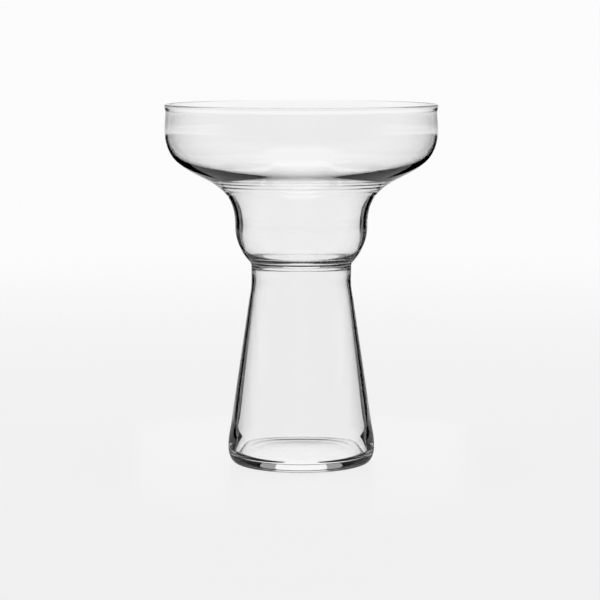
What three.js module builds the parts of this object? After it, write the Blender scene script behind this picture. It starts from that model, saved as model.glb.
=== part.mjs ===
// A cocktail glass of clear thick glass, all of it turned about one upright axis.
// A wide bowl drops through a thick shoulder into a narrow well. The rounded bottom of the well
// is fused, at the waist, onto a hollow stem that widens downwards, and a dished foot closes the
// stem from below. The wall follows the outside: thin at the rim, thickest in the shoulder.
// Millimetres, +Z up, with the origin on the table under the middle of the foot.
import * as THREE from 'three';

// Foot
const FOOT_DIAMETER = 63.6;
const FOOT_HEIGHT = 6.5;
const CONTACT_DIAMETER = 57.2;
const CONTACT_WIDTH = 1.8;
const PUNT_DEPTH = 1.1;
const FOOT_FLOOR = 3.6;
const FLOOR_FILLET = 4.5;

// Stem
const STEM_LENGTH = 73.5;
const CONE_BASE_DIAMETER = 60.6;
const CONE_TOP_DIAMETER = 45.2;
const FOOT_BLEND = 11.4;
const WAIST_BLEND = 9.6;

// Waist, where the well is fused to the stem
const WAIST_DIAMETER = 43.2;
const COLLAR_HEIGHT = 4.6;
const CREASE_RADIUS = 4;
const CEILING_RISE = 5.8;
const CEILING_FILLET = 4.5;

// Well
const WELL_DIAMETER = 57.3;
const WELL_BOTTOM_RADIUS = 23;
const WELL_FLOOR = 2.2;
const WELL_FLOOR_FLAT = 24;
const WELL_SIDE_PULL = 9.6;
const WELL_FLOOR_PULL = 10;

// Bowl
const SHOULDER_RISE = 41;
const SHOULDER_LOWER_PULL = 26.5;
const SHOULDER_UPPER_PULL = 25;
const BOWL_DIAMETER = 117.4;
const RIM_BAND = 11.2;
const RIM_LEAN = 0.4;
const RIM_FLARE = 2.6;
const RIM_BEAD_DIAMETER = 2;

// Walls
const HEEL_WALL = 3.9;
const CONE_BASE_WALL = 1.9;
const CONE_TOP_WALL = 1.1;
const WAIST_WALL = 1.6;
const WELL_WALL = 1.8;
const BOWL_WALL = 0.9;
const SHOULDER_EXTRA_WALL = 1;

// Where the shoulder's wall is thickest, as part of the way from the well to the bowl's widest
const THICKEST_AT = 0.42;

// How far a handle of a blend reaches along its tangent, as part of the blend's height
const BLEND_HANDLE = 0.4;

// Facets of the turned faces
const SEGMENTS = 48;

const QUARTER = Math.PI / 2;

// Radii of the outline
const footRadius = FOOT_DIAMETER / 2;
const contactRadius = CONTACT_DIAMETER / 2;
const coneBaseRadius = CONE_BASE_DIAMETER / 2;
const coneTopRadius = CONE_TOP_DIAMETER / 2;
const waistRadius = WAIST_DIAMETER / 2;
const wellRadius = WELL_DIAMETER / 2;
const bowlRadius = BOWL_DIAMETER / 2;
const beadRadius = RIM_BEAD_DIAMETER / 2;

// Inner radii that two pieces share at a seam
const footSeamInner = footRadius - HEEL_WALL;
const waistSeamInner = waistRadius - WAIST_WALL;
const wellSeamInner = wellRadius - WELL_WALL;

// The crease and the round bottom of the well are two arcs that share one tangent
const wellTilt = Math.acos(1 - (wellRadius - waistRadius) / (CREASE_RADIUS + WELL_BOTTOM_RADIUS));

// Heights above the table
const footSeam = FOOT_HEIGHT;
const waistSeam = footSeam + STEM_LENGTH;
const creaseStart = waistSeam + COLLAR_HEIGHT;
const creaseEnd = creaseStart + CREASE_RADIUS * Math.sin(wellTilt);
const wellSeam = creaseEnd + WELL_BOTTOM_RADIUS * Math.sin(wellTilt);
const bowlWidest = wellSeam + SHOULDER_RISE;
const rimTop = bowlWidest + RIM_BAND;
const ceiling = waistSeam + CEILING_RISE;
const wellFloor = ceiling + WELL_FLOOR;

const at = (radius, height) => new THREE.Vector2(radius, height);

// Points along a quarter of an ellipse, or along any arc of a circle
function arc(centre, radiusAcross, radiusUp, from, to, steps) {
  const curve = new THREE.EllipseCurve(
    centre.x, centre.y, radiusAcross, radiusUp, from, to, from > to,
  );
  return curve.getPoints(steps);
}

// Points along a cubic curve
function bend(start, startHandle, endHandle, end, steps) {
  return new THREE.CubicBezierCurve(start, startHandle, endHandle, end).getPoints(steps);
}

// Points along a blend from an upright end to one that runs on along the cone
function coneBlend(upright, coneEnd, coneFarEnd, steps) {
  const reach = (coneEnd.y - upright.y) * BLEND_HANDLE;
  const slope = (coneFarEnd.x - coneEnd.x) / (coneFarEnd.y - coneEnd.y);
  return bend(
    upright,
    at(upright.x, upright.y + reach),
    at(coneEnd.x - slope * reach, coneEnd.y - reach),
    coneEnd,
    steps,
  );
}

// One side of the stem, from the foot seam up to the waist seam
function stemSide(footEnd, coneBase, coneTop, waistEnd) {
  const lower = coneBlend(footEnd, coneBase, coneTop, 5);
  const upper = coneBlend(waistEnd, coneTop, coneBase, 5).reverse();
  return [...lower, ...upper];
}

function clearGlass(color) {
  return new THREE.MeshStandardMaterial({
    color,
    roughness: 0.04,
    metalness: 0,
    transparent: true,
    opacity: 0.35,
  });
}

// A solid turned about the upright axis, with doubled points of its outline left out
function turned(name, outline, color) {
  const isNew = (point, i) => i === 0 || point.distanceTo(outline[i - 1]) > 1e-6;
  const geometry = new THREE.LatheGeometry(outline.filter(isNew), SEGMENTS);
  geometry.rotateX(QUARTER);
  const mesh = new THREE.Mesh(geometry, clearGlass(color));
  mesh.name = name;
  return mesh;
}

// The foot is a dish: a flat resting ring round a shallow punt, a rounded heel, and a floor that
// rises in a fillet to the ring-shaped seam that carries the stem.
function makeFoot() {
  const ringInner = contactRadius - CONTACT_WIDTH;
  const filletCentre = at(footSeamInner - FLOOR_FILLET, footSeam);
  const puntEdge = at(ringInner, 0);
  const punt = bend(at(0, PUNT_DEPTH), at(ringInner / 2, PUNT_DEPTH), puntEdge, puntEdge, 4);
  const heel = arc(at(contactRadius, footSeam), footRadius - contactRadius, FOOT_HEIGHT, -QUARTER, 0, 6);
  const fillet = arc(filletCentre, FLOOR_FILLET, FOOT_HEIGHT - FOOT_FLOOR, 0, -QUARTER, 5);
  return turned('foot', [...punt, ...heel, ...fillet, at(0, FOOT_FLOOR)], 0xe9f1f0);
}

// The stem is a tube: a straight cone that eases into the foot below and into the waist above.
function makeStem() {
  const coneBottom = footSeam + FOOT_BLEND;
  const coneTop = waistSeam - WAIST_BLEND;
  const outside = stemSide(
    at(footRadius, footSeam),
    at(coneBaseRadius, coneBottom),
    at(coneTopRadius, coneTop),
    at(waistRadius, waistSeam),
  );
  const inside = stemSide(
    at(footSeamInner, footSeam),
    at(coneBaseRadius - CONE_BASE_WALL, coneBottom),
    at(coneTopRadius - CONE_TOP_WALL, coneTop),
    at(waistSeamInner, waistSeam),
  ).reverse();
  return turned('stem', [...outside, ...inside, outside[0]], 0xe6efee);
}

// The well is a cup. Outside it has a collar, a crease and a round bottom; its underside is the
// stem's ceiling, with a fillet down to the ring-shaped waist seam.
function makeWell() {
  const filletCentre = at(waistSeamInner - CEILING_FILLET, waistSeam);
  const creaseCentre = at(waistRadius + CREASE_RADIUS, creaseStart);
  const bottomCentre = at(wellRadius - WELL_BOTTOM_RADIUS, wellSeam);
  const underside = arc(filletCentre, CEILING_FILLET, CEILING_RISE, QUARTER, 0, 6);
  const crease = arc(creaseCentre, CREASE_RADIUS, CREASE_RADIUS, Math.PI, Math.PI - wellTilt, 5);
  const bottom = arc(bottomCentre, WELL_BOTTOM_RADIUS, WELL_BOTTOM_RADIUS, -wellTilt, 0, 8);
  const flatRadius = WELL_FLOOR_FLAT / 2;
  const inside = bend(
    at(wellSeamInner, wellSeam),
    at(wellSeamInner, wellSeam - WELL_SIDE_PULL),
    at(flatRadius + WELL_FLOOR_PULL, wellFloor),
    at(flatRadius, wellFloor),
    10,
  );
  const outside = [at(waistRadius, waistSeam), ...crease, ...bottom];
  return turned('well', [at(0, ceiling), ...underside, ...outside, ...inside, at(0, wellFloor)], 0xecf2f2);
}

// Thickness of the shoulder's wall, from the well (0) to the bowl's widest (1). The extra glass
// reaches as far above its thickest place as below, where it is gone at the well.
function shoulderWall(way) {
  const thinning = WELL_WALL + (BOWL_WALL - WELL_WALL) * THREE.MathUtils.smoothstep(way, 0, 1);
  const off = Math.min(Math.abs(way - THICKEST_AT) / THICKEST_AT, 1);
  return thinning + SHOULDER_EXTRA_WALL * Math.cos(QUARTER * off) ** 2;
}

// Both sides of the shoulder: the double curve outside, and the inside that the wall leaves
function shoulderSides(steps) {
  const curve = new THREE.CubicBezierCurve(
    at(wellRadius, wellSeam),
    at(wellRadius, wellSeam + SHOULDER_LOWER_PULL),
    at(bowlRadius, bowlWidest - SHOULDER_UPPER_PULL),
    at(bowlRadius, bowlWidest),
  );
  const outside = curve.getPoints(steps);
  const inside = outside.map((point, i) => {
    const along = curve.getTangent(i / steps);
    const wall = shoulderWall(i / steps);
    return at(point.x - along.y * wall, point.y + along.x * wall);
  });
  return { outside, inside: inside.reverse() };
}

// One side of the rim: a band that leans in a little and flares out again below the bead
function rimSide(lowRadius, bandRadius, beadEdge, steps) {
  const beadHeight = rimTop - beadRadius;
  const flareStart = beadHeight - RIM_FLARE;
  const lean = bend(
    at(lowRadius, bowlWidest),
    at(lowRadius, bowlWidest + RIM_FLARE),
    at(bandRadius, flareStart - RIM_FLARE),
    at(bandRadius, flareStart),
    steps,
  );
  const flare = bend(
    at(bandRadius, flareStart),
    at(bandRadius, flareStart + RIM_FLARE / 2),
    at(beadEdge, beadHeight - RIM_FLARE / 2),
    at(beadEdge, beadHeight),
    steps,
  );
  return [...lean, ...flare];
}

// The rim, from the bowl's widest over the fire-polished bead and down again inside
function rim() {
  const bandRadius = bowlRadius - RIM_LEAN;
  const beadCentre = at(bowlRadius - beadRadius, rimTop - beadRadius);
  const outside = rimSide(bowlRadius, bandRadius, bowlRadius, 4);
  const bead = arc(beadCentre, beadRadius, beadRadius, 0, Math.PI, 8);
  const inside = rimSide(bowlRadius - BOWL_WALL, bandRadius - BOWL_WALL, bowlRadius - RIM_BEAD_DIAMETER, 4);
  return [...outside, ...bead, ...inside.reverse()];
}

// The bowl rises from the well seam through the shoulder to the rim.
function makeBowl() {
  const { outside, inside } = shoulderSides(18);
  return turned('bowl', [...outside, ...rim(), ...inside, outside[0]], 0xeff4f4);
}

const glass = new THREE.Group();
glass.add(makeFoot(), makeStem(), makeWell(), makeBowl());

export default glass;
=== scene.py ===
"""A clear cocktail glass: bowl, well, stem and foot of thick glass, fused, in a white light tent."""

import math

import bpy
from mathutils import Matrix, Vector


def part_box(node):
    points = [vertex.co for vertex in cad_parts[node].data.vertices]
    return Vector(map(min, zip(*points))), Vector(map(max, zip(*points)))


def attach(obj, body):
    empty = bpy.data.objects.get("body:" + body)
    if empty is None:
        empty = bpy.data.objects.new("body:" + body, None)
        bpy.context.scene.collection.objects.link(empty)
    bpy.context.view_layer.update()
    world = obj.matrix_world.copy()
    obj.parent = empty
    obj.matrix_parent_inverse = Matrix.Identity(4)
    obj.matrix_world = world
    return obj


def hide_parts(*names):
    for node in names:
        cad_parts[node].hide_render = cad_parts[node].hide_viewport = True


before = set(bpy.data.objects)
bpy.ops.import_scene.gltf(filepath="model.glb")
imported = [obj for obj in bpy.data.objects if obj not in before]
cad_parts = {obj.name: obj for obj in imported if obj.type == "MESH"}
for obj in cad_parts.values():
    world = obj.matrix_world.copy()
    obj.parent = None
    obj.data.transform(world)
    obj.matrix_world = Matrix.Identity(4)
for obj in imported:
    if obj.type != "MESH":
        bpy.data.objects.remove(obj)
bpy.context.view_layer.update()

bl_info = {
    "name": "Cocktail glass",
    "version": (1, 0, 0),
    "blender": (4, 5, 0),
    "location": "3D View > Sidebar > Glass",
    "description": "Makes a fused glass of bowl, well, stem and foot, and the tent it is lit in",
    "category": "Object",
}

FOOT_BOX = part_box("foot")
STEM_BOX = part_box("stem")
BOWL_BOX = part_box("bowl")

FOOT_SEAM = FOOT_BOX[1].z
WAIST_SEAM = STEM_BOX[1].z
RIM_TOP = BOWL_BOX[1].z
FOOT_RADIUS = FOOT_BOX[1].x
BOWL_RADIUS = BOWL_BOX[1].x

# Turning: faces round the axis, and how near is the same point or on the axis, in metres.
QUARTER = math.pi / 2
SEGMENTS = 192
SAME_POINT = 1e-8
ON_AXIS = 1e-7

# Handles of the punt's curve, as parts of its radius.
PUNT_FLAT = 0.5
PUNT_EDGE = 0.9

# Streaks run along the axis. Each noise has its output, its share of the scale and its detail.
FLOW_STRETCH = (1, 1, 0.35)
FLOW_NOISES = (("Streaks", 1.0, 3), ("Polish", 4.0, 5), ("Waves", 0.6, 1))
POLISH_FROM = 0.5
POLISH_TO = 0.9

# Stage: strips of a card, gap under the resting ring in metres, how far the camera sees in tent
# radii, and how many clear seams and floors a ray may pass.
CARD_STEPS = 12
FLOOR_GAP = 1e-5
CAMERA_REACH = 4
CLEAR_BOUNCES = 48


def length(name, default, words):
    """A length in metres that a user may change."""
    return bpy.props.FloatProperty(
        name=name, description=words, default=default, precision=5, unit="LENGTH", subtype="DISTANCE"
    )


def share(name, default, words):
    """A plain number that a user may change."""
    return bpy.props.FloatProperty(name=name, description=words, default=default, precision=4)


def count(name, default, words):
    """A whole number that a user may change."""
    return bpy.props.IntProperty(name=name, description=words, default=default, min=1)


def tint(name, default, words):
    """A colour that a user may change."""
    return bpy.props.FloatVectorProperty(
        name=name, description=words, default=default, size=3, min=0, max=1, subtype="COLOR"
    )


class GlassFootShape(bpy.types.PropertyGroup):
    """Sizes of the dished foot."""

    contact_radius: length("Contact radius", 0.0286, "Outer edge of the flat resting ring")
    contact_width: length("Contact width", 0.0018, "Width of the flat resting ring")
    punt_depth: length("Punt depth", 0.0005, "Height of the hollow under the foot")
    floor: length("Floor", 0.0037, "Height of the foot's inner floor above the table")
    fillet: length("Fillet", 0.0028, "Width of the fillet round the inner floor")
    heel_wall: length("Heel wall", 0.0028, "Wall at the seam with the stem")


class GlassStemShape(bpy.types.PropertyGroup):
    """Sizes of the hollow stem."""

    base_radius: length("Base radius", 0.0303, "Outer radius where the cone starts")
    top_radius: length("Top radius", 0.0226, "Outer radius where the cone ends")
    foot_blend: length("Foot blend", 0.0114, "Height of the curve between foot and cone")
    waist_blend: length("Waist blend", 0.0096, "Height of the curve between cone and waist")
    base_wall: length("Base wall", 0.0019, "Wall where the cone starts")
    top_wall: length("Top wall", 0.0011, "Wall where the cone ends")
    handle: share("Handle", 0.4, "Reach of a blend's handles, as part of its height")


class GlassWellShape(bpy.types.PropertyGroup):
    """Sizes of the waist and of the well over it."""

    waist_radius: length("Waist radius", 0.0216, "Outer radius at the waist")
    waist_wall: length("Waist wall", 0.0012, "Wall at the seam with the stem")
    collar: length("Collar", 0.0051, "Height of the upright collar over the seam")
    crease_radius: length("Crease radius", 0.0036, "Radius of the crease over the collar")
    ceiling_rise: length("Ceiling rise", 0.007, "Height of the stem's ceiling over the seam")
    ceiling_fillet: length("Ceiling fillet", 0.002, "Width of the fillet round the ceiling")
    radius: length("Radius", 0.02865, "Outer radius of the well")
    bottom_radius: length("Bottom radius", 0.023, "Radius of the well's rounded bottom, outside")
    floor: length("Floor", 0.0011, "Thickness of the well's bottom")
    flat: length("Flat", 0.016, "Radius of the flat of the well's floor")
    wall: length("Wall", 0.0019, "Wall at the seam with the bowl")
    side_pull: length("Side pull", 0.0096, "Reach of the upper handle of the curve to the floor")
    floor_pull: length("Floor pull", 0.0075, "Reach of that curve's lower handle")


class GlassBowlShape(bpy.types.PropertyGroup):
    """Sizes of the bowl, its shoulder and its rim."""

    shoulder_rise: length("Shoulder rise", 0.041, "Height of the shoulder's double curve")
    low_pull: length("Lower pull", 0.0265, "Reach of its lower handle")
    high_pull: length("Upper pull", 0.025, "Reach of its upper handle")
    extra_wall: length("Extra wall", 0.0004, "How much thicker the wall gets in the shoulder")
    thickest_at: share("Thickest at", 0.42, "Where along the shoulder it is thickest")
    thick_reach: share("Thick reach", 0.42, "How far along the shoulder that reaches")
    wall: length("Wall", 0.0009, "Wall from the bowl's widest up to the rim's flare")
    rim_lean: length("Rim lean", 0.0004, "How far the band under the rim leans in")
    rim_flare: length("Rim flare", 0.0026, "Height over which the rim flares out again")
    bead_radius: length("Bead radius", 0.0006, "Radius of the fire-polished rim")
    ripple: length("Ripple", 0.00006, "Depth of the rings that chilling left in the shoulder")
    ripple_count: count("Ripple count", 5, "How many such rings there are")
    ripple_from: share("Ripple from", 0.18, "Where along the shoulder they start")
    ripple_to: share("Ripple to", 0.48, "Where along the shoulder they end")


class GlassFinish(bpy.types.PropertyGroup):
    """Look of the glass."""

    ior: share("Refraction", 1.52, "Index of refraction of soda-lime glass")
    pale: tint("Pale tint", (1.0, 1.0, 1.0), "Colour of the clearest glass")
    deep: tint("Deep tint", (0.985, 0.985, 0.985), "Colour of the streaks in the glass")
    roughness: share("Roughness", 0.012, "Most roughness of the polished surface")
    waviness: length("Waviness", 0.000004, "Depth of the slow waves in the surface")


class GlassStage(bpy.types.PropertyGroup):
    """Camera, floor and light tent."""

    distance: length("Distance", 0.9526, "From the camera to the glass")
    pitch: bpy.props.FloatProperty(
        name="Pitch", description="How far the camera looks down", default=math.radians(6.8), subtype="ANGLE"
    )
    centre: length("Centre", 0.0704, "Height on the glass that the camera looks at")
    aside: length("Aside", -0.00056, "How far the camera stands to the left")
    lens: share("Lens", 132.0, "Focal length in millimetres on a 36 mm sensor")
    tent_radius: length("Tent radius", 1.25, "Radius of the light tent")
    white_to: share("White to", 0.232, "Where the tent's white back ends below, as part of its radius")
    dark_from: share("Dark from", 0.257, "Where its dark sides start below")
    over_from: length("Over from", 0.05, "Height where the tent's sides start to turn pale")
    over_fade: length("Over fade", 0.03, "Height over which they do")
    over_level: share("Over level", 0.7, "Brightness of the tent's sides there")
    top_from: length("Top from", 0.06, "Height where they start to darken again")
    top_fade: length("Top fade", 0.1, "Height over which they do")
    top_level: share("Top level", 0.5, "Brightness of the tent's top, as part of that of its sides")
    card_distance: length("Card distance", 0.25, "From the glass to the black cards behind it")
    card_height: length("Card height", 0.105, "Height of the black cards")
    card_from: length("Card from", 0.09, "How far aside a black card starts")
    card_to: length("Card to", 0.22, "How far aside a black card ends")
    front_at: share("Front at", 0.6, "Where the tent's front is dimmest, as part of its radius")
    front_level: share("Front level", 0.05, "Brightness of the tent's front, behind the camera")
    white: tint("White", (1.0, 1.0, 1.0), "Colour of the tent's white cloth")
    backdrop: tint("Backdrop", (0.97, 0.97, 0.97), "Colour that the camera sees behind the glass")
    dark: tint("Dark", (0.004, 0.005, 0.008), "Colour of the black cards and of the tent's dark sides")
    floor_radius: length("Floor radius", 1.0, "Radius of the floor")
    thin_from: share("Thin from", 0.25, "Where the floor starts to thin out, as part of its radius")
    floor_roughness: share("Floor roughness", 0.25, "Roughness of the satin floor")
    floor_shine: share("Floor shine", 0.25, "How much the floor mirrors by the foot")
    shine_from: length("Shine from", 0.03, "How far from the glass the shine starts to fade")
    shine_to: length("Shine to", 0.13, "How far from the glass it ends")
    floor_colour: tint("Floor", (0.9, 0.9, 0.9), "Colour of the floor")
    floor_white: share("Floor white", 0.86, "Share of plain white in what the camera sees of the floor")
    bounces: count("Bounces", 7, "How often light may pass or mirror in the glass")


class Outline:
    """Points of a turned outline, each with its tangent, radius first."""

    def __init__(self):
        self.points = []
        self.tangents = []

    def add(self, point, tangent):
        reach = math.hypot(*tangent)
        if self.points and math.dist(point, self.points[-1]) < SAME_POINT:
            return self
        self.points.append(point)
        self.tangents.append((tangent[0] / reach, tangent[1] / reach))
        return self

    def line(self, start, end, steps):
        along = (end[0] - start[0], end[1] - start[1])
        for i in range(steps + 1):
            part = i / steps
            self.add((start[0] + along[0] * part, start[1] + along[1] * part), along)
        return self

    def bend(self, a, b, c, d, steps):
        """A cubic curve from a to d with the handles b and c."""
        for i in range(steps + 1):
            t = i / steps
            s = 1 - t
            point = []
            slope = []
            for p, q, r, u in zip(a, b, c, d):
                point.append(s**3 * p + 3 * s * s * t * q + 3 * s * t * t * r + t**3 * u)
                slope.append(s * s * (q - p) + 2 * s * t * (r - q) + t * t * (u - r))
            self.add(tuple(point), tuple(slope))
        return self

    def arc(self, centre, across, up, start, end, steps):
        """Part of an ellipse, or of a circle where across and up are alike."""
        turn = math.copysign(1, end - start)
        for i in range(steps + 1):
            angle = start + (end - start) * i / steps
            point = (centre[0] + across * math.cos(angle), centre[1] + up * math.sin(angle))
            self.add(point, (-turn * across * math.sin(angle), turn * up * math.cos(angle)))
        return self

    def join(self, other):
        for point, tangent in zip(other.points, other.tangents):
            self.add(point, tangent)
        return self

    def back(self):
        """The same outline, run the other way."""
        other = Outline()
        for point, tangent in zip(reversed(self.points), reversed(self.tangents)):
            other.add(point, (-tangent[0], -tangent[1]))
        return other


def turned_piece(name, runs, closed):
    """A closed mesh turned about +Z. Each run is (outline, is it a seam); runs follow each other."""
    points = []
    spans = []
    for outline, is_seam in runs:
        start = len(points) - 1 if points else 0
        points += outline.points if not points else outline.points[1:]
        for i in range(len(outline.points) - 1):
            ends = (outline.tangents[i], outline.tangents[i + 1])
            spans.append((start + i, start + i + 1, ends, is_seam))
    if closed:
        points.pop()
    total = len(points)
    vertices = []
    rings = []
    for radius, height in points:
        on_axis = radius < ON_AXIS
        ring = []
        for k in range(1 if on_axis else SEGMENTS):
            angle = 2 * math.pi * k / SEGMENTS
            ring.append(len(vertices))
            vertices.append((radius * math.cos(angle), radius * math.sin(angle), height))
        rings.append(ring)
    faces = []
    normals = []
    seam_faces = []
    for first, second, ends, is_seam in spans:
        low, high = rings[first % total], rings[second % total]
        for k in range(SEGMENTS):
            corners = [(low, k, ends[0]), (low, k + 1, ends[0]), (high, k + 1, ends[1]), (high, k, ends[1])]
            if len(low) == 1:
                corners.pop(1)
            elif len(high) == 1:
                corners.pop(2)
            faces.append([ring[j % len(ring)] for ring, j, _ in corners])
            seam_faces.append(is_seam)
            for ring, j, (across, up) in corners:
                angle = 2 * math.pi * (j if len(ring) > 1 else k + 0.5) / SEGMENTS
                normals.append((up * math.cos(angle), up * math.sin(angle), -across))
    mesh = bpy.data.meshes.new(name)
    mesh.from_pydata(vertices, [], faces)
    for polygon, is_seam in zip(mesh.polygons, seam_faces):
        polygon.use_smooth = True
        polygon.material_index = 1 if is_seam else 0
    mesh.normals_split_custom_set(normals)
    mesh.validate()
    piece = bpy.data.objects.new(name, mesh)
    bpy.context.scene.collection.objects.link(piece)
    return piece


def seam(height, start, end):
    """The flat ring where two pieces are fused."""
    return Outline().line((start, height), (end, height), steps=1)


def stem_side(shape, foot_end, cone_base, cone_top, waist_end, steps=24):
    """One side of the stem, from the foot seam up to the waist seam."""
    slope = (cone_top[0] - cone_base[0]) / (cone_top[1] - cone_base[1])
    low = (cone_base[1] - foot_end[1]) * shape.handle
    high = (waist_end[1] - cone_top[1]) * shape.handle
    side = Outline()
    side.bend(
        foot_end,
        (foot_end[0], foot_end[1] + low),
        (cone_base[0] - slope * low, cone_base[1] - low),
        cone_base,
        steps,
    )
    side.line(cone_base, cone_top, steps)
    side.bend(
        cone_top,
        (cone_top[0] + slope * high, cone_top[1] + high),
        (waist_end[0], waist_end[1] - high),
        waist_end,
        steps,
    )
    return side


def well_heights(shape):
    """Tilt of the crease's tangent, and heights of the crease and of the well's widest."""
    step = shape.radius - shape.waist_radius
    tilt = math.acos(1 - step / (shape.crease_radius + shape.bottom_radius))
    crease = WAIST_SEAM + shape.collar
    return tilt, crease, crease + (shape.crease_radius + shape.bottom_radius) * math.sin(tilt)


def well_outside(shape):
    """Collar, crease and round bottom of the well."""
    tilt, crease, widest = well_heights(shape)
    side = Outline().line((shape.waist_radius, WAIST_SEAM), (shape.waist_radius, crease), steps=6)
    side.arc(
        (shape.waist_radius + shape.crease_radius, crease),
        shape.crease_radius, shape.crease_radius, math.pi, math.pi - tilt, steps=16,
    )
    return side.arc(
        (shape.radius - shape.bottom_radius, widest),
        shape.bottom_radius, shape.bottom_radius, -tilt, 0, steps=32,
    )


def well_inside(shape):
    """From the well's widest down to the middle of its floor."""
    _, _, widest = well_heights(shape)
    floor = WAIST_SEAM + shape.ceiling_rise + shape.floor
    inner = shape.radius - shape.wall
    side = Outline().bend(
        (inner, widest),
        (inner, widest - shape.side_pull),
        (shape.flat + shape.floor_pull, floor),
        (shape.flat, floor),
        steps=64,
    )
    return side.line((shape.flat, floor), (0, floor), steps=4)


def shoulder_outside(well, shape, steps):
    """The double curve from the well's widest up to the bowl's widest."""
    _, _, start = well_heights(well)
    end = start + shape.shoulder_rise
    return Outline().bend(
        (well.radius, start),
        (well.radius, start + shape.low_pull),
        (BOWL_RADIUS, end - shape.high_pull),
        (BOWL_RADIUS, end),
        steps,
    )


def eased(part):
    """Goes from 0 to 1 with level ends."""
    part = min(max(part, 0), 1)
    return part * part * (3 - 2 * part)


def rim_side(shape, widest, low, band, edge):
    """One side of the band under the rim, which leans in and flares out again below the bead."""
    bead = RIM_TOP - shape.bead_radius
    flare = bead - shape.rim_flare
    side = Outline().bend(
        (low, widest),
        (low, widest + shape.rim_flare),
        (band, flare - shape.rim_flare),
        (band, flare),
        steps=20,
    )
    half = shape.rim_flare / 2
    return side.bend((band, flare), (band, flare + half), (edge, bead - half), (edge, bead), steps=16)


def rim(shape, widest):
    """From the bowl's widest over the fire-polished bead and down again inside."""
    band = BOWL_RADIUS - shape.rim_lean
    bead = shape.bead_radius
    side = rim_side(shape, widest, BOWL_RADIUS, band, BOWL_RADIUS)
    side.arc((BOWL_RADIUS - bead, RIM_TOP - bead), bead, bead, 0, math.pi, steps=24)
    inside = rim_side(shape, widest, BOWL_RADIUS - shape.wall, band - shape.wall, BOWL_RADIUS - 2 * bead)
    return side.join(inside.back())


def shoulder_wall(well, shape, part):
    """Thickness of the wall along the shoulder, from the well (0) to the bowl's widest (1)."""
    off = min(abs(part - shape.thickest_at) / shape.thick_reach, 1)
    wall = well.wall + (shape.wall - well.wall) * eased(part)
    wall += shape.extra_wall * math.cos(QUARTER * off) ** 2
    ring_part = (part - shape.ripple_from) / (shape.ripple_to - shape.ripple_from)
    if 0 < ring_part < 1:
        swell = math.sin(math.pi * ring_part) ** 2
        wall += shape.ripple * swell * math.sin(2 * math.pi * shape.ripple_count * ring_part)
    return wall


def shoulder_inside(well, shape, steps=240):
    """The wall's inside along the shoulder, with the rings that chilling left in it, from the top down."""
    outside = shoulder_outside(well, shape, steps)
    moved = []
    for i, ((radius, height), (across, up)) in enumerate(zip(outside.points, outside.tangents)):
        wall = shoulder_wall(well, shape, i / steps)
        moved.append((radius - up * wall, height + across * wall))
    moved.reverse()
    inside = Outline()
    for i, point in enumerate(moved):
        before, after = moved[max(i - 1, 0)], moved[min(i + 1, steps)]
        inside.add(point, (after[0] - before[0], after[1] - before[1]))
    return inside


def flow_group():
    """Slow streaks and waves in formed glass, as masks and heights for every glass material."""
    group = bpy.data.node_groups.new("Glass flow", "ShaderNodeTree")
    group.interface.new_socket("Scale", in_out="INPUT", socket_type="NodeSocketFloat")
    for output, _, _ in FLOW_NOISES:
        group.interface.new_socket(output, in_out="OUTPUT", socket_type="NodeSocketFloat")
    nodes, links = group.nodes, group.links
    start = nodes.new("NodeGroupInput")
    end = nodes.new("NodeGroupOutput")
    place = nodes.new("ShaderNodeTexCoord")
    stretch = nodes.new("ShaderNodeMapping")
    stretch.inputs["Scale"].default_value = FLOW_STRETCH
    links.new(place.outputs["Object"], stretch.inputs["Vector"])
    for output, factor, detail in FLOW_NOISES:
        noise = nodes.new("ShaderNodeTexNoise")
        scale = nodes.new("ShaderNodeMath")
        scale.operation = "MULTIPLY"
        scale.inputs[1].default_value = factor
        noise.inputs["Detail"].default_value = detail
        links.new(start.outputs["Scale"], scale.inputs[0])
        links.new(scale.outputs["Value"], noise.inputs["Scale"])
        links.new(stretch.outputs["Vector"], noise.inputs["Vector"])
        links.new(noise.outputs["Fac"], end.inputs[output])
    return group


def clear_glass(name, finish, flow_scale):
    """Clear polished glass with faint streaks and waves."""
    material = bpy.data.materials.new(name)
    material.use_nodes = True
    nodes, links = material.node_tree.nodes, material.node_tree.links
    shader = nodes["Principled BSDF"]
    shader.inputs["Transmission Weight"].default_value = 1.0
    shader.inputs["IOR"].default_value = finish.ior
    shader.inputs["Metallic"].default_value = 0.0
    flow = nodes.new("ShaderNodeGroup")
    flow.node_tree = bpy.data.node_groups.get("Glass flow") or flow_group()
    flow.inputs["Scale"].default_value = flow_scale
    colour = nodes.new("ShaderNodeMix")
    colour.data_type = "RGBA"
    colour.inputs["A"].default_value = (*finish.pale, 1)
    colour.inputs["B"].default_value = (*finish.deep, 1)
    links.new(flow.outputs["Streaks"], colour.inputs["Factor"])
    links.new(colour.outputs["Result"], shader.inputs["Base Color"])
    polish = nodes.new("ShaderNodeMapRange")
    polish.inputs["From Min"].default_value = POLISH_FROM
    polish.inputs["From Max"].default_value = POLISH_TO
    polish.inputs["To Max"].default_value = finish.roughness
    links.new(flow.outputs["Polish"], polish.inputs["Value"])
    links.new(polish.outputs["Result"], shader.inputs["Roughness"])
    waves = nodes.new("ShaderNodeBump")
    waves.inputs["Strength"].default_value = 1.0
    waves.inputs["Distance"].default_value = finish.waviness
    links.new(flow.outputs["Waves"], waves.inputs["Height"])
    links.new(waves.outputs["Normal"], shader.inputs["Normal"])
    return material


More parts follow.
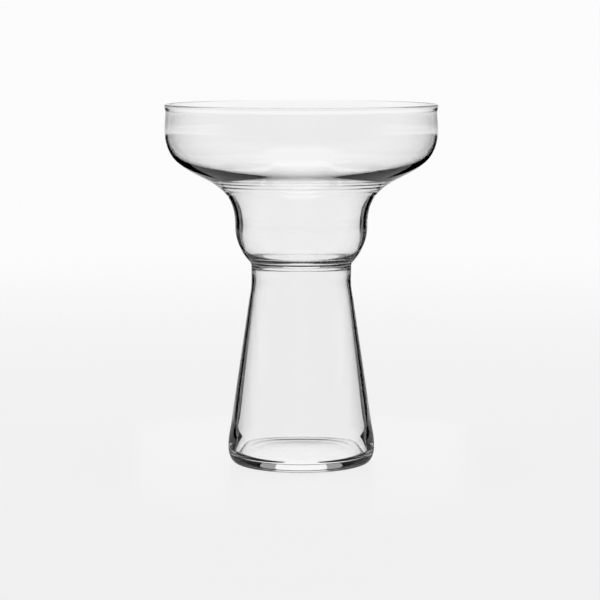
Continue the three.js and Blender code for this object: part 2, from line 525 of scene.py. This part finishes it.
def fused_seam():
    """Where two pieces are fused the glass runs on, so the seam bends no light."""
    material = bpy.data.materials.get("fused_seam")
    if material:
        return material
    material = bpy.data.materials.new("fused_seam")
    material.use_nodes = True
    nodes, links = material.node_tree.nodes, material.node_tree.links
    nodes.remove(nodes["Principled BSDF"])
    through = nodes.new("ShaderNodeBsdfTransparent")
    links.new(through.outputs["BSDF"], nodes["Material Output"].inputs["Surface"])
    return material


def dress(piece, node, material):
    """Gives a piece its glass, hangs it on the root body and hides the node that it stands for."""
    piece.data.materials.append(material)
    piece.data.materials.append(fused_seam())
    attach(piece, "root")
    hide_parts(node)


class GLASS_OT_foot(bpy.types.Operator):
    """Makes the dished foot with its heel, floor, resting ring and punt"""

    bl_idname = "glass.foot"
    bl_label = "Foot"

    def execute(self, context):
        shape = context.scene.glass_foot
        ring_inner = shape.contact_radius - shape.contact_width
        seam_inner = FOOT_RADIUS - shape.heel_wall
        under = Outline().bend(
            (0, shape.punt_depth),
            (ring_inner * PUNT_FLAT, shape.punt_depth),
            (ring_inner * PUNT_EDGE, shape.punt_depth * (1 - PUNT_EDGE)),
            (ring_inner, 0),
            steps=24,
        )
        ring = Outline().line((ring_inner, 0), (shape.contact_radius, 0), steps=2)
        heel = Outline().arc(
            (shape.contact_radius, FOOT_SEAM),
            FOOT_RADIUS - shape.contact_radius, FOOT_SEAM, -QUARTER, 0, steps=24,
        )
        floor = Outline().arc(
            (seam_inner - shape.fillet, FOOT_SEAM),
            shape.fillet, FOOT_SEAM - shape.floor, 0, -QUARTER, steps=24,
        )
        floor.line(floor.points[-1], (0, shape.floor), steps=6)
        runs = [(under, False), (ring.join(heel), False), (seam(FOOT_SEAM, FOOT_RADIUS, seam_inner), True)]
        piece = turned_piece("foot_glass", [*runs, (floor, False)], closed=False)
        finish = context.scene.glass_finish
        dress(piece, "foot", clear_glass("clear_foot_glass", finish, flow_scale=30))
        return {"FINISHED"}


class GLASS_OT_stem(bpy.types.Operator):
    """Makes the hollow stem"""

    bl_idname = "glass.stem"
    bl_label = "Stem"

    def execute(self, context):
        shape = context.scene.glass_stem
        heel_wall = context.scene.glass_foot.heel_wall
        waist = context.scene.glass_well
        base = FOOT_SEAM + shape.foot_blend
        top = WAIST_SEAM - shape.waist_blend
        outside = stem_side(
            shape,
            (FOOT_RADIUS, FOOT_SEAM),
            (shape.base_radius, base),
            (shape.top_radius, top),
            (waist.waist_radius, WAIST_SEAM),
        )
        inside = stem_side(
            shape,
            (FOOT_RADIUS - heel_wall, FOOT_SEAM),
            (shape.base_radius - shape.base_wall, base),
            (shape.top_radius - shape.top_wall, top),
            (waist.waist_radius - waist.waist_wall, WAIST_SEAM),
        ).back()
        upper = seam(WAIST_SEAM, outside.points[-1][0], inside.points[0][0])
        lower = seam(FOOT_SEAM, inside.points[-1][0], outside.points[0][0])
        runs = [(outside, False), (upper, True), (inside, False), (lower, True)]
        piece = turned_piece("stem_glass", runs, closed=True)
        finish = context.scene.glass_finish
        dress(piece, "stem", clear_glass("clear_stem_glass", finish, flow_scale=22))
        return {"FINISHED"}


class GLASS_OT_well(bpy.types.Operator):
    """Makes the well with its collar, its crease and the ceiling of the stem"""

    bl_idname = "glass.well"
    bl_label = "Well"

    def execute(self, context):
        shape = context.scene.glass_well
        seam_inner = shape.waist_radius - shape.waist_wall
        ceiling = WAIST_SEAM + shape.ceiling_rise
        flat = seam_inner - shape.ceiling_fillet
        under = Outline().line((0, ceiling), (flat, ceiling), steps=4)
        under.arc((flat, WAIST_SEAM), shape.ceiling_fillet, shape.ceiling_rise, QUARTER, 0, steps=24)
        lower = seam(WAIST_SEAM, seam_inner, shape.waist_radius)
        outside = well_outside(shape)
        inside = well_inside(shape)
        upper = seam(outside.points[-1][1], outside.points[-1][0], inside.points[0][0])
        runs = [(under, False), (lower, True), (outside, False), (upper, True), (inside, False)]
        piece = turned_piece("well_glass", runs, closed=False)
        finish = context.scene.glass_finish
        dress(piece, "well", clear_glass("clear_well_glass", finish, flow_scale=20))
        return {"FINISHED"}


class GLASS_OT_bowl(bpy.types.Operator):
    """Makes the bowl with its shoulder and its fire-polished rim"""

    bl_idname = "glass.bowl"
    bl_label = "Bowl"

    def execute(self, context):
        well = context.scene.glass_well
        shape = context.scene.glass_bowl
        outside = shoulder_outside(well, shape, steps=72)
        inside = shoulder_inside(well, shape)
        wall = outside.join(rim(shape, outside.points[-1][1])).join(inside)
        lower = seam(wall.points[0][1], wall.points[-1][0], wall.points[0][0])
        piece = turned_piece("bowl_glass", [(wall, False), (lower, True)], closed=True)
        finish = context.scene.glass_finish
        dress(piece, "bowl", clear_glass("clear_bowl_glass", finish, flow_scale=16))
        return {"FINISHED"}


def graded(nodes, links, value, start, end, low, high):
    """A value eased from low to high while another goes from start to end."""
    node = nodes.new("ShaderNodeMapRange")
    node.interpolation_type = "SMOOTHSTEP"
    node.inputs["From Min"].default_value = start
    node.inputs["From Max"].default_value = end
    node.inputs["To Min"].default_value = low
    node.inputs["To Max"].default_value = high
    links.new(value, node.inputs["Value"])
    return node.outputs["Result"]


def plain_math(nodes, links, operation, *values):
    """The result of one sum of sockets and numbers."""
    node = nodes.new("ShaderNodeMath")
    node.operation = operation
    for i, value in enumerate(values):
        if isinstance(value, bpy.types.NodeSocket):
            links.new(value, node.inputs[i])
        else:
            node.inputs[i].default_value = value
    return node.outputs["Value"]


def tent_cloth(setup):
    """Cloth that is white at the back, dark low on both sides, paler over that, and dim at the front."""
    material = bpy.data.materials.new("tent_cloth")
    material.use_nodes = True
    nodes, links = material.node_tree.nodes, material.node_tree.links
    nodes.remove(nodes["Principled BSDF"])
    reach = setup.tent_radius
    place = nodes.new("ShaderNodeTexCoord")
    axes = nodes.new("ShaderNodeSeparateXYZ")
    links.new(place.outputs["Object"], axes.inputs["Vector"])
    aside = plain_math(nodes, links, "ABSOLUTE", axes.outputs["X"])
    aside = plain_math(nodes, links, "DIVIDE", aside, reach)
    height = plain_math(nodes, links, "ADD", axes.outputs["Z"], setup.centre)
    back = graded(nodes, links, aside, setup.white_to, setup.dark_from, 1, 0)
    over_to = setup.over_from + setup.over_fade
    over = graded(nodes, links, height, setup.over_from, over_to, 0, setup.over_level)
    top_to = setup.top_from + setup.top_fade
    top = graded(nodes, links, height, setup.top_from, top_to, 1, setup.top_level)
    over = plain_math(nodes, links, "MULTIPLY", over, top)
    front = graded(nodes, links, axes.outputs["Y"], -setup.front_at * reach, 0, setup.front_level, 1)
    white = plain_math(nodes, links, "MAXIMUM", back, over)
    lit = plain_math(nodes, links, "MULTIPLY", white, front)
    cloth = nodes.new("ShaderNodeMix")
    cloth.data_type = "RGBA"
    cloth.inputs["A"].default_value = (*setup.dark, 1)
    cloth.inputs["B"].default_value = (*setup.white, 1)
    links.new(lit, cloth.inputs["Factor"])
    glow = nodes.new("ShaderNodeEmission")
    links.new(cloth.outputs["Result"], glow.inputs["Color"])
    backdrop = nodes.new("ShaderNodeEmission")
    backdrop.inputs["Color"].default_value = (*setup.backdrop, 1)
    path = nodes.new("ShaderNodeLightPath")
    either = nodes.new("ShaderNodeMixShader")
    links.new(path.outputs["Is Camera Ray"], either.inputs["Fac"])
    links.new(glow.outputs["Emission"], either.inputs[1])
    links.new(backdrop.outputs["Emission"], either.inputs[2])
    links.new(either.outputs["Shader"], nodes["Material Output"].inputs["Surface"])
    return material


def pale_floor(setup):
    """A pale floor that mirrors a little by the foot, keeps the shadow and thins out towards the tent."""
    material = bpy.data.materials.new("pale_floor")
    material.use_nodes = True
    nodes, links = material.node_tree.nodes, material.node_tree.links
    shader = nodes["Principled BSDF"]
    shader.inputs["Base Color"].default_value = (*setup.floor_colour, 1)
    shader.inputs["Roughness"].default_value = setup.floor_roughness
    place = nodes.new("ShaderNodeTexCoord")
    away = nodes.new("ShaderNodeVectorMath")
    away.operation = "LENGTH"
    links.new(place.outputs["Object"], away.inputs[0])
    distance = away.outputs["Value"]
    links.new(
        graded(nodes, links, distance, setup.shine_from, setup.shine_to, setup.floor_shine, 0),
        shader.inputs["Specular IOR Level"],
    )
    plain = nodes.new("ShaderNodeEmission")
    plain.inputs["Color"].default_value = (*setup.backdrop, 1)
    path = nodes.new("ShaderNodeLightPath")
    brighter = nodes.new("ShaderNodeMixShader")
    links.new(
        plain_math(nodes, links, "MULTIPLY", path.outputs["Is Camera Ray"], setup.floor_white),
        brighter.inputs["Fac"],
    )
    links.new(shader.outputs["BSDF"], brighter.inputs[1])
    links.new(plain.outputs["Emission"], brighter.inputs[2])
    clear = nodes.new("ShaderNodeBsdfTransparent")
    thinning = nodes.new("ShaderNodeMixShader")
    links.new(
        graded(nodes, links, distance, setup.thin_from * setup.floor_radius, setup.floor_radius, 0, 1),
        thinning.inputs["Fac"],
    )
    links.new(brighter.outputs["Shader"], thinning.inputs[1])
    links.new(clear.outputs["BSDF"], thinning.inputs[2])
    links.new(thinning.outputs["Shader"], nodes["Material Output"].inputs["Surface"])
    return material


def matt_black(setup):
    """The plain matt black of both cards."""
    material = bpy.data.materials.get("matt_black")
    if material:
        return material
    material = bpy.data.materials.new("matt_black")
    material.use_nodes = True
    shader = material.node_tree.nodes["Principled BSDF"]
    shader.inputs["Base Color"].default_value = (*setup.dark, 1)
    shader.inputs["Roughness"].default_value = 1.0
    shader.inputs["Specular IOR Level"].default_value = 0.0
    return material


def black_card(setup, side, tent):
    """A black card that stands behind the glass on one side, and that only the glass shows."""
    start = math.asin(setup.card_from / setup.card_distance)
    end = math.asin(setup.card_to / setup.card_distance)
    vertices = []
    for i in range(CARD_STEPS + 1):
        angle = start + (end - start) * i / CARD_STEPS
        across = side * setup.card_distance * math.sin(angle)
        away = setup.card_distance * math.cos(angle)
        vertices += [(across, away, 0), (across, away, setup.card_height)]
    faces = [(2 * i, 2 * i + 2, 2 * i + 3, 2 * i + 1) for i in range(CARD_STEPS)]
    mesh = bpy.data.meshes.new("black_card")
    mesh.from_pydata(vertices, [], faces)
    mesh.materials.append(matt_black(setup))
    card = bpy.data.objects.new("black_card", mesh)
    bpy.context.scene.collection.objects.link(card)
    card.parent = tent
    card.location = (0, 0, -setup.centre)
    card.visible_camera = False
    card.visible_diffuse = False
    card.visible_shadow = False


class GLASS_OT_stage(bpy.types.Operator):
    """Makes the camera, the light tent that turns with it, its black cards and the floor"""

    bl_idname = "glass.stage"
    bl_label = "Stage"

    def execute(self, context):
        setup = context.scene.glass_stage
        scene = context.scene
        camera = bpy.data.objects.new("camera", bpy.data.cameras.new("camera"))
        camera.data.lens = setup.lens
        camera.data.clip_end = setup.tent_radius * CAMERA_REACH
        camera.location = (
            setup.aside,
            -setup.distance * math.cos(setup.pitch),
            setup.centre + setup.distance * math.sin(setup.pitch),
        )
        camera.rotation_euler = (QUARTER - setup.pitch, 0, 0)
        scene.collection.objects.link(camera)
        scene.camera = camera
        bpy.ops.mesh.primitive_uv_sphere_add(segments=96, ring_count=48, radius=setup.tent_radius)
        tent = context.object
        tent.name = "light_tent"
        tent.data.materials.append(tent_cloth(setup))
        tent.location = (0, 0, setup.centre)
        facing = tent.constraints.new("LOCKED_TRACK")
        facing.target = camera
        facing.track_axis = "TRACK_NEGATIVE_Y"
        facing.lock_axis = "LOCK_Z"
        for side in (-1, 1):
            black_card(setup, side, tent)
        bpy.ops.mesh.primitive_circle_add(vertices=96, radius=setup.floor_radius, fill_type="NGON")
        floor = context.object
        floor.name = "floor"
        floor.location = (0, 0, -FLOOR_GAP)
        floor.data.materials.append(pale_floor(setup))
        floor.visible_transmission = False
        scene.cycles.max_bounces = setup.bounces
        scene.cycles.glossy_bounces = setup.bounces
        scene.cycles.transmission_bounces = setup.bounces
        scene.cycles.transparent_max_bounces = CLEAR_BOUNCES
        scene.view_settings.view_transform = "Standard"
        return {"FINISHED"}


class GLASS_PT_panel(bpy.types.Panel):
    """Makes the pieces of the glass and shows their sizes"""

    bl_label = "Cocktail glass"
    bl_idname = "GLASS_PT_panel"
    bl_space_type = "VIEW_3D"
    bl_region_type = "UI"
    bl_category = "Glass"

    def draw(self, context):
        for operator in OPERATORS:
            self.layout.operator(operator.bl_idname)
        for name, group in GROUPS.items():
            box = self.layout.box()
            box.label(text=group.__doc__)
            for size in group.__annotations__:
                box.prop(getattr(context.scene, name), size)


GROUPS = {
    "glass_foot": GlassFootShape,
    "glass_stem": GlassStemShape,
    "glass_well": GlassWellShape,
    "glass_bowl": GlassBowlShape,
    "glass_finish": GlassFinish,
    "glass_stage": GlassStage,
}
OPERATORS = (GLASS_OT_stage, GLASS_OT_foot, GLASS_OT_stem, GLASS_OT_well, GLASS_OT_bowl)


def register():
    for group in GROUPS.values():
        bpy.utils.register_class(group)
    for name, group in GROUPS.items():
        setattr(bpy.types.Scene, name, bpy.props.PointerProperty(type=group))
    for made in (*OPERATORS, GLASS_PT_panel):
        bpy.utils.register_class(made)


def unregister():
    for made in (GLASS_PT_panel, *OPERATORS):
        bpy.utils.unregister_class(made)
    for name, group in GROUPS.items():
        delattr(bpy.types.Scene, name)
        bpy.utils.unregister_class(group)


def main():
    register()
    bpy.ops.glass.stage()
    bpy.ops.glass.foot()
    bpy.ops.glass.stem()
    bpy.ops.glass.well()
    bpy.ops.glass.bowl()


if __name__ == "__main__":
    main()
